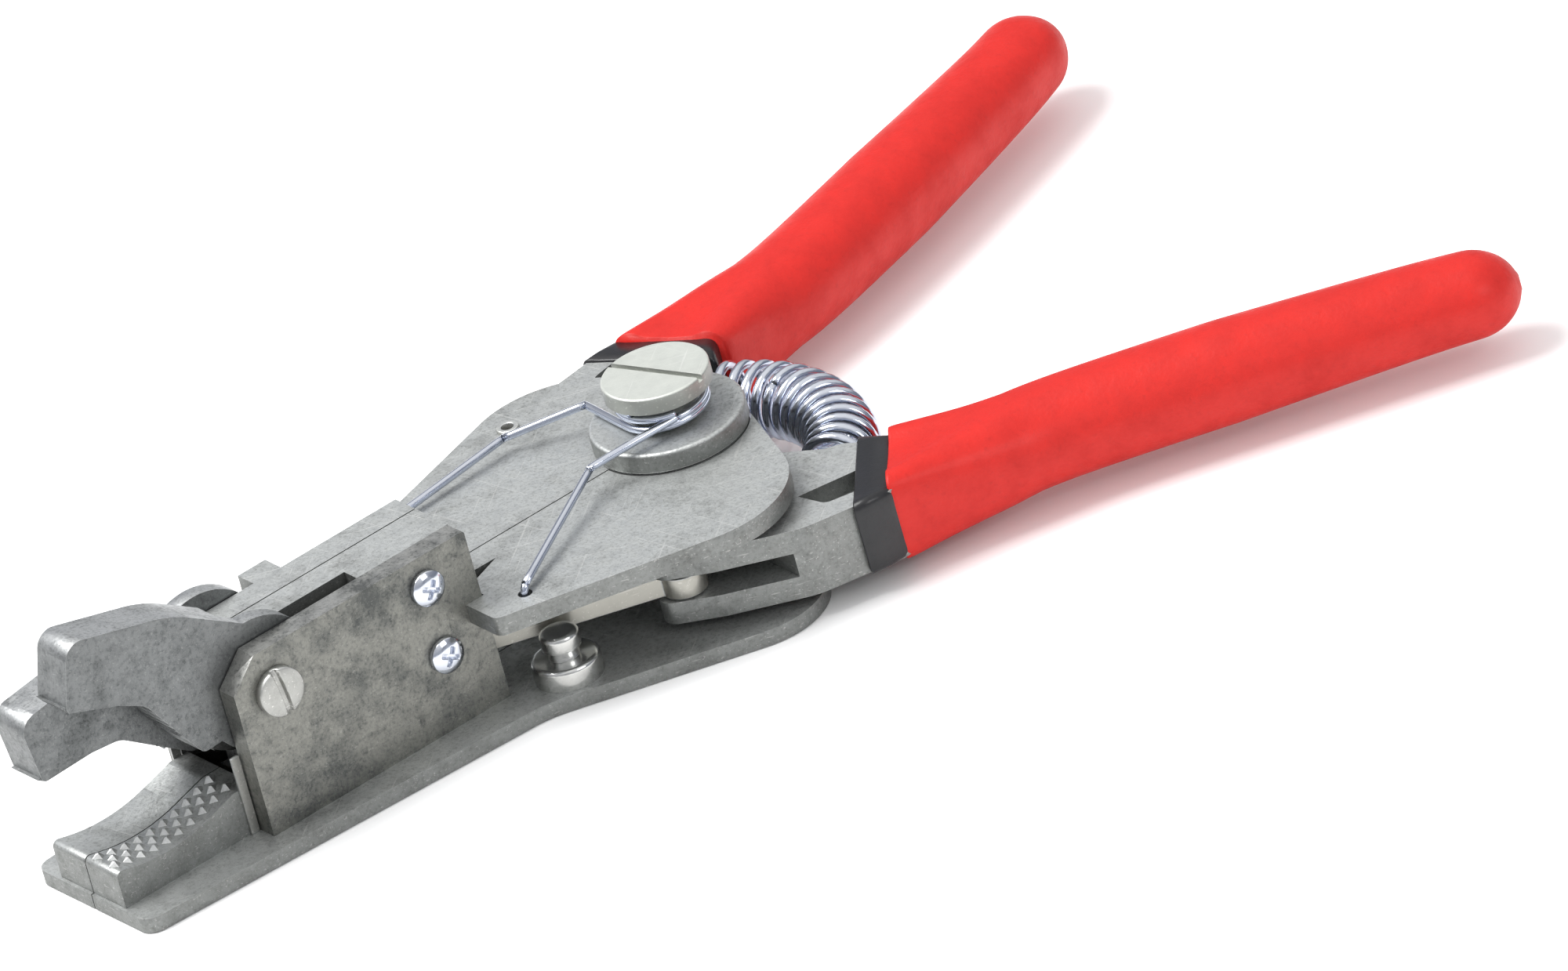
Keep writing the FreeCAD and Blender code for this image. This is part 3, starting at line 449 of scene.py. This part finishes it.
@dataclass
class CadNodes:
    """The CAD nodes that stay visible: finish, softened edges and worn edge faces."""

    paint: Paint
    edge: float = 0.28 * MM

    def build(self) -> None:
        """Give every CAD node its finish and small rounded, brightly worn edges."""
        slots = {entry["node"]: entry["material_slot"] for entry in frame["record"]["subparts"]}
        for node, piece in frame["nodes"].items():
            finish = SLOTS[slots[node]]
            if node.endswith("_jaw"):
                finish = JAW
            if node == "main_screw":
                finish = HEAD
            if node.endswith("_stop_stud"):
                finish = STUD
            piece.data.materials.clear()
            piece.data.materials.append(self.paint.get(finish))
            if isinstance(finish, VinylFinish):
                continue
            piece.data.materials.append(self.paint.get(EDGE))
            weld = piece.modifiers.new("weld", "WELD")
            weld.merge_threshold = 1e-6
            soft = piece.modifiers.new("edges", "BEVEL")
            soft.width = self.edge * (1.8 if node.endswith("_jaw") else 1.0)
            soft.segments = 2
            soft.limit_method = "ANGLE"
            soft.angle_limit = math.radians(38)
            soft.material = 1
            soft.harden_normals = False


HANDLE = ((20.6, 36.9), (26.9, 38.7), (36.6, 41.7), (49.8, 45.3), (69.0, 53.3), (93.2, 64.3), (112.8, 73.7),
          (124.2, 80.0), (128.8, 82.6))


@dataclass
class Grip:
    """Dipped red grip with a thick two-lobed front lip."""

    paint: Paint
    side: Side
    ahead: float
    wide: float = 9.9
    high: float = 9.1
    nose: float = 24.0
    heel: float = 55.0
    cap: float = 9.0
    lip: float = 1.6
    cleft: float = 26.0
    sides: int = 72

    def build(self) -> bpy.types.Object:
        """Build the grip and the sleeve that shows ahead of it.

        Returns:
            The finished grip.
        """
        turn = Matrix.Rotation(-self.side.value * math.radians(self.ahead), 3, "Z")
        centre = [turn @ Vector((x, self.side.value * y, HANDLE_LEVEL)) for x, y in HANDLE]
        path = smooth_line(centre, 12)
        length = [0.0]
        for a, b in zip(path, path[1:]):
            length.append(length[-1] + (b - a).length)
        total = length[-1]
        loops = []
        for i, spot in enumerate(path):
            along = length[i]
            left = total - along
            heading = (path[min(i + 1, len(path) - 1)] - path[max(i - 1, 0)]).normalized()
            out = heading.cross(Vector((0, 0, 1))).normalized() * -self.side.value
            lean = GRIP_LEAN * max(0.0, 1.0 - along / self.nose)
            power = 0.35 + 0.61 * min(1.0, along / self.nose)
            size = 1.05 - 0.05 * min(1.0, along / 14.0) - 0.17 * max(0.0, 1.0 - left / self.heel)
            if left < self.cap:
                size *= math.sqrt(max(0.03, 1.0 - ((self.cap - left) / self.cap) ** 2))
            if along < self.lip:
                size *= 0.97 + 0.03 * math.sqrt(along / self.lip)
            cleft = max(0.0, 1.0 - along / self.cleft)
            loop = []
            for a in angles(self.sides):
                ca, sa = math.cos(a), math.sin(a)
                rise = abs(ca) ** power * math.copysign(1, ca)
                lift = abs(sa) ** power * math.copysign(1, sa)
                dent = 1.0 - 0.16 * cleft * math.exp(-((ca / 0.20) ** 2))
                loop.append((spot + (out - heading * lean) * (rise * self.wide * size)
                             + Vector((0, 0, 1)) * (lift * self.high * min(size, 1.0) * dent)) * MM)
            loops.append(loop)
        bm = bmesh.new()
        rings(bm, loops)
        word = self.side.word
        self.sleeve(turn)
        return finish_mesh(word + "_red_grip", bm, self.paint.get(RED), word + "_handle",
                           (word + "_grip",))

    def sleeve(self, turn: Matrix) -> bpy.types.Object:
        """Build the black under-layer that shows ahead of the grip.

        Args:
            turn: Turn of this handle about the main pivot.

        Returns:
            The sleeve.
        """
        word = self.side.word
        splay, wide, high, square = 0.28, 10.4, 7.75, 0.22
        heading = (turn @ Vector((math.cos(splay), self.side.value * math.sin(splay), 0))).normalized()
        out = heading.cross(Vector((0, 0, 1))) * -self.side.value
        bm = bmesh.new()
        loops = []
        for along, grow, inner in ((0.0, 0.97, 1.28), (0.3, 1.0, 1.32), (3.5, 1.0, 1.1), (7.0, 0.97, 0.9),
                                   (7.6, 0.93, 0.86), (10.0, 0.8, 0.8), (16.0, 0.7, 0.7)):
            spot = turn @ Vector((13.4 + 0.96 * along, self.side.value * (36.1 + 0.2 * along), HANDLE_LEVEL))
            loop = []
            for a in angles(64):
                ca, sa = math.cos(a), math.sin(a)
                across = math.copysign(abs(ca) ** square, ca) * wide * (grow if ca > 0 else inner)
                tall = math.copysign(abs(sa) ** square, sa) * high * grow
                dip = 0.45 * math.exp(-(((ca - 0.1) / 0.34) ** 2)) if sa > 0 else 0.0
                loop.append((spot + (out - heading * GRIP_LEAN) * across + Vector((0, 0, tall - dip))) * MM)
            loops.append(loop)
        rings(bm, loops)
        return finish_mesh(word + "_black_sleeve", bm, self.paint.get(BLACK), word + "_handle",
                           (word + "_underlayer",))


@dataclass
class ReturnSpring:
    """Bowed coil spring between the two levers, in three lengths that meet end to end."""

    paint: Paint
    turns: int = 14
    middle: tuple[float, float] = (3.5, 1.6)
    bend: float = 26.5
    coil: float = 6.15
    wire: float = 0.96

    def build(self) -> None:
        """Build the three lengths as loose wires with their placement baked in; the bodies and end points listed with
        each length are not used.
        """
        early, late = (0.0287, -0.0101, 0.012), (0.0301, 0.0051, 0.012)
        for name, first, last, bodies, start, end in (
                ("near", 0.0, 1 / 3, ("near_handle", "near_half"), (0.0205, -0.0205, 0.012), early),
                ("middle", 1 / 3, 2 / 3, ("near_half", "far_half"), early, late),
                ("far", 2 / 3, 1.0, ("far_half", "far_handle"), late, (0.0225, 0.0195, 0.012))):
            path = []
            count = self.turns * 10
            for i in range(count + 1):
                share = first + (last - first) * i / count
                along = math.radians(-53.0 + 99.0 * share)
                spin = 2 * math.pi * self.turns * share
                away = self.bend + self.coil * math.cos(spin)
                path.append(Vector((self.middle[0] + away * math.cos(along), self.middle[1] + away * math.sin(along),
                                    HANDLE_LEVEL + self.coil * math.sin(spin))) * MM)
            part = tube(name + "_spring_length", path, self.wire * MM, self.paint.get(SPRING), "", "return_spring")
            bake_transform(part)


@dataclass
class Hairpin:
    """Hairpin spring coiled round the main screw, its legs in the two top plates."""

    paint: Paint
    radius: float = 8.0
    wire: float = 0.74

    def coil(self, first: float, sweep: float, low: float, high: float, steps: int = 48) -> list[Point]:
        """Rising turns round the main screw.

        Args:
            first: Angle of the first point, in degrees.
            sweep: Angle from first to last point, in degrees.
            low: Height of the first point, in millimetres.
            high: Height of the last point, in millimetres.
            steps: Points after the first.

        Returns:
            The points, in millimetres.
        """
        return [(self.radius * math.cos(math.radians(first + sweep * k / steps)),
                 self.radius * math.sin(math.radians(first + sweep * k / steps)), low + (high - low) * k / steps)
                for k in range(steps + 1)]

    def build(self) -> None:
        """Build the spring's two legs and the turns under the screw head."""
        x, y = SPRING_HOLE
        far = [(x, y, 21.4), (x, y, 24.4), (-48.2, y, 25.4), (-43.5, 21.0, 25.6),
               (-22.4, 22.4, 26.9), (-21.0, 22.3, 27.1), (-19.8, 21.6, 27.3), (-8.4, 14.9, 29.2),
               (-7.6, 14.1, 29.3), (-7.5, 12.8, 29.3), (-7.9, 3.0, 29.4), *self.coil(182.0, 430.0, 29.5, 32.0)]
        near = [(x, -y, 21.4), (x, -y, 24.4), (-48.2, -20.8, 25.5), (-46.0, -19.5, 25.9),
                (-22.0, -5.5, 28.9), (-20.9, -4.9, 29.1), (-19.6, -4.7, 29.3), (-10.5, -6.6, 30.5),
                *self.coil(250.0, 300.0, 31.0, 32.6)]
        for name, row in (("near_leg", near), ("far_leg", far)):
            path = [p * MM for p in smooth_line([Vector(p) for p in row], 3)]
            spring = tube(name, path, self.wire * MM, self.paint.get(SPRING), "", "hairpin_spring")
            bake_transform(spring)


def screw_head(name: str, centre: Vector, axis: Vector, radius: float, high: float,
               recess: Callable[[float, float], float], material: bpy.types.Material, body: str, dome: float,
               node: str) -> bpy.types.Object:
    """Screw head with a recess pressed into its crown.

    Args:
        name: Name of the piece.
        centre: Middle of the head's seat.
        axis: Unit direction out of the screw.
        radius: Head radius.
        high: Head height at the middle.
        recess: Depth at a place on the head, in units of the radius.
        material: Its material.
        body: Body that it rides on.
        dome: How much lower the rim is, as a share of the height.
        node: CAD node that it stands for.

    Returns:
        The head.
    """
    aside = axis.orthogonal().normalized()
    if abs(axis.y) > 0.5:
        aside = Vector((1, 0, 0))
    other = axis.cross(aside)
    loops = [[centre + radius * (aside * math.cos(a) + other * math.sin(a)) for a in angles(120)]]
    for i in range(33):
        share = 1.0 - i / 32.0 * 0.985
        level = high * (1.0 - dome * share ** 3)
        loops.append([centre + radius * share * (aside * math.cos(a) + other * math.sin(a))
                      + axis * (level - recess(share * math.cos(a), share * math.sin(a))) for a in angles(120)])
    bm = bmesh.new()
    rings(bm, loops)
    return finish_mesh(name, bm, material, body, (node,))


def angles(count: int) -> list[float]:
    """Equal angles round a circle.

    Args:
        count: How many.

    Returns:
        The angles in radians, from 0.
    """
    return [2 * math.pi * k / count for k in range(count)]


def step(value: float, width: float, soft: float) -> float:
    """1 inside a half width, 0 outside, with a soft wall between.

    Args:
        value: Distance from the middle, either way.
        width: The half width.
        soft: Half the width of the wall.

    Returns:
        A share from 0 to 1.
    """
    return min(1.0, max(0.0, (width + soft - abs(value)) / (2 * soft)))


@dataclass
class Screws:
    """Heads of the cover and jaw screws, with their driver recesses."""

    paint: Paint
    side: Side

    seat: float = 14.58
    pan: float = 3.4
    slotted: float = 4.6

    @staticmethod
    def cross(u: float, v: float) -> float:
        """Depth of a crossed recess.

        Args:
            u: Place on the head along it, in radii.
            v: Place on the head up it, in radii.

        Returns:
            The depth in metres.
        """
        c, s = math.cos(0.5), math.sin(0.5)
        u, v = u * c - v * s, u * s + v * c
        arm = max(step(u, 0.11, 0.03) * step(v, 0.52, 0.05), step(v, 0.11, 0.03) * step(u, 0.52, 0.05))
        return arm * 1.3 * MM * (1.0 - 0.5 * math.hypot(u, v))

    @staticmethod
    def slot(u: float, v: float) -> float:
        """Depth of a straight slot, slightly turned.

        Args:
            u: Place on the head along it, in radii.
            v: Place on the head up it, in radii.

        Returns:
            The depth in metres.
        """
        return step(u + 0.12 * v, 0.13, 0.03) * MM

    def build(self) -> None:
        """Build the three heads of one side over the CAD heads."""
        out = Vector((0, self.side.value, 0))
        drop = 0.0 if self.side is Side.NEAR else 5.3
        face = self.side.value * self.seat * MM
        word = self.side.word
        for index, z in enumerate((31.7 - drop, 17.6)):
            screw_head(f"{word}_pan_head_{index}", Vector((-64.45 * MM, face, z * MM)), out, self.pan * MM, 2.1 * MM,
                       self.cross, self.paint.get(CHROME), word + "_half", 0.45, word + "_cover_screws")
        screw_head(word + "_slotted_head", Vector((HINGE.x * MM, face, HINGE.z * MM)), out, self.slotted * MM,
                   2.3 * MM, self.slot, self.paint.get(PLAIN), word + "_half", 0.25, word + "_jaw_screw")


@dataclass
class JawDetail:
    """Knurled tread on the near lower jaw and the toothed edges of the hooks."""

    paint: Paint

    def build(self) -> None:
        """Build the tread and the teeth."""
        self.tread()
        for side, ahead in ((Side.NEAR, 0.0), (Side.FAR, 23.0)):
            self.teeth(side, ahead)

    def tread(self) -> None:
        """Build three staggered rows of blunt diamonds."""
        pitch, row_pitch, front, back = 2.85, 2.55, -135.9, -109.6
        bm = bmesh.new()
        for row in range(3):
            for column in range(10):
                x = front + column * pitch + (row % 2) * 1.42
                if x > back:
                    continue
                y = -1.9 - row * row_pitch
                corners = [Vector((x + dx, y + dy, jaw_top(x + dx) - 0.15)) * MM
                           for dx, dy in ((-1.4, 0), (0, -1.5), (1.4, 0), (0, 1.5))]
                crown = [Vector((x + dx, y + dy, jaw_top(x) + 0.85)) * MM
                         for dx, dy in ((-0.3, 0), (0, -0.3), (0.3, 0), (0, 0.3))]
                rings(bm, [corners, crown])
        flat_faces(finish_mesh("jaw_tread", bm, self.paint.get(EDGE), "near_half"))

    def teeth(self, side: Side, ahead: float) -> None:
        """Build the row of teeth under one hook.

        Args:
            side: Side of the hook.
            ahead: How far that jaw is turned at rest, in degrees.
        """
        bm = bmesh.new()
        turn = Matrix.Rotation(math.radians(ahead), 3, Vector((0, -1, 0)))
        line = smooth_line([Vector(p) for p in ((-38.6, 0, 15.3), (-30.5, 0, 12.2), (-24.0, 0, 8.9),
                                                (-19.6, 0, 2.4), (-17.4, 0, -2.4))], 6)
        for i, spot in enumerate(line[:-1:2]):
            half = (line[min(2 * i + 2, len(line) - 1)] - spot) * 0.46
            down = Vector((half.z, 0, -half.x)).normalized() * (-0.75)
            if down.z > 0:
                down.negate()
            loops = []
            for y in (-1.2, -9.45):
                mid = Vector((spot.x, 0, spot.z))
                loop = [mid - half - down * 0.6, mid + half - down * 0.6, mid + half * 0.2 + down]
                for p in loop:
                    p.y = y
                placed = [turn @ p + HINGE for p in loop]
                loops.append([Vector((p.x, -side.value * p.y, p.z)) * MM for p in placed])
            rings(bm, loops)
        flat_faces(finish_mesh(side.word + "_teeth", bm, self.paint.get(JAW), side.word + "_jaw_set"))


def flat_faces(piece: bpy.types.Object) -> None:
    """Shade a piece with flat facets.

    Args:
        piece: The piece.
    """
    for face in piece.data.polygons:
        face.use_smooth = False


def jaw_top(x: float) -> float:
    """Height of the hollowed lower jaw.

    Args:
        x: Place along the tool, in millimetres.

    Returns:
        The height in millimetres.
    """
    if x < -134.8:
        return 10.7 - 0.25 * (x + 137.8)
    if x > -116.9:
        return 7.7 + 0.294 * (x + 125.8)
    return 42.92 - math.sqrt(34.0 ** 2 - (x + 126.53) ** 2)


@dataclass(frozen=True)
class Studio:
    """White floor, soft lamps and the camera."""

    place: Point = (-3.538204, -6.434208, 4.056446)
    turn: tuple[float, float, float, float] = (0.7961384596, 0.5051777289, -0.0579501460, -0.3280256026)
    lens: float = 1080.0

    def build(self) -> None:
        """Build the stage and point the camera."""
        scene = bpy.context.scene
        scene.view_settings.view_transform = "Standard"
        camera = bpy.data.objects.new("camera", bpy.data.cameras.new("camera"))
        camera.data.lens, camera.data.sensor_width = self.lens, 36.0
        camera.data.clip_end, camera.data.clip_start = 60.0, 0.1
        camera.location = self.place
        camera.rotation_mode = "QUATERNION"
        camera.rotation_quaternion = Quaternion(self.turn)
        scene.collection.objects.link(camera)
        scene.camera = camera
        bm = bmesh.new()
        bmesh.ops.create_grid(bm, x_segments=1, y_segments=1, size=12.0)
        mesh = bpy.data.meshes.new("floor")
        bm.to_mesh(mesh)
        bm.free()
        floor = bpy.data.objects.new("floor", mesh)
        floor.location.z = -0.0002
        scene.collection.objects.link(floor)
        white = bpy.data.materials.new("white_floor")
        white.use_nodes = True
        white.node_tree.nodes.clear()
        g = Graph(white.node_tree)
        matte = g.add("ShaderNodeBsdfDiffuse", {"Color": (0.93, 0.93, 0.93, 1.0)})
        g.add("ShaderNodeOutputMaterial", {0: matte.outputs[0]})
        mesh.materials.append(white)
        self.world(scene)
        for name, spot, size, power in (("key", (-0.62, 0.42, 1.35), 0.9, 27.0), ("fill", (0.3, -1.4, 0.9), 0.6, 5.0)):
            data = bpy.data.lights.new(name, "AREA")
            data.size, data.energy = size, power
            lamp = bpy.data.objects.new(name, data)
            lamp.location = spot
            lamp.rotation_mode = "QUATERNION"
            lamp.rotation_quaternion = (Vector((-0.02, 0, 0.02)) - Vector(spot)).to_track_quat("-Z", "Y")
            scene.collection.objects.link(lamp)

    @staticmethod
    def world(scene: bpy.types.Scene) -> None:
        """White to the camera; banded light and dark to reflections.

        Args:
            scene: Scene to light.
        """
        world = bpy.data.worlds.new("studio")
        scene.world = world
        world.use_nodes = True
        world.node_tree.nodes.clear()
        g = Graph(world.node_tree)
        way = g.add("ShaderNodeTexCoord").outputs["Generated"]
        split = g.add("ShaderNodeSeparateXYZ", {0: way}).outputs
        rise = g.ramp(split[2], 0.05, 0.85)
        sky = g.mix(rise, (0.42, 0.44, 0.48, 1.0), (1.0, 1.0, 1.0, 1.0))
        blot = g.add("ShaderNodeTexNoise", {"Vector": way, "Scale": 1.6, "Detail": 1.0}).outputs[0]
        sky = g.mix(g.math("MULTIPLY", g.ramp(blot, 0.52, 0.6), 0.6), sky, (0.10, 0.12, 0.18, 1.0))
        ray = g.add("ShaderNodeLightPath").outputs
        seen = g.math("MAXIMUM", ray["Is Camera Ray"], g.math("MULTIPLY", ray["Is Diffuse Ray"], 0.6))
        colour = g.mix(seen, sky, (1.0, 1.0, 1.0, 1.0))
        back = g.add("ShaderNodeBackground", {"Color": colour, "Strength": 0.95})
        g.add("ShaderNodeOutputWorld", {0: back.outputs[0]})


def main() -> None:
    """Build every piece, the stage and the camera."""
    logging.basicConfig(level=logging.INFO)
    paint = Paint()
    CadNodes(paint).build()
    for side, ahead in ((Side.NEAR, 0.0), (Side.FAR, 5.0)):
        Grip(paint, side, ahead).build()
        Screws(paint, side).build()
    ReturnSpring(paint).build()
    Hairpin(paint).build()
    JawDetail(paint).build()
    Studio().build()


if __name__ == "__main__":
    main()
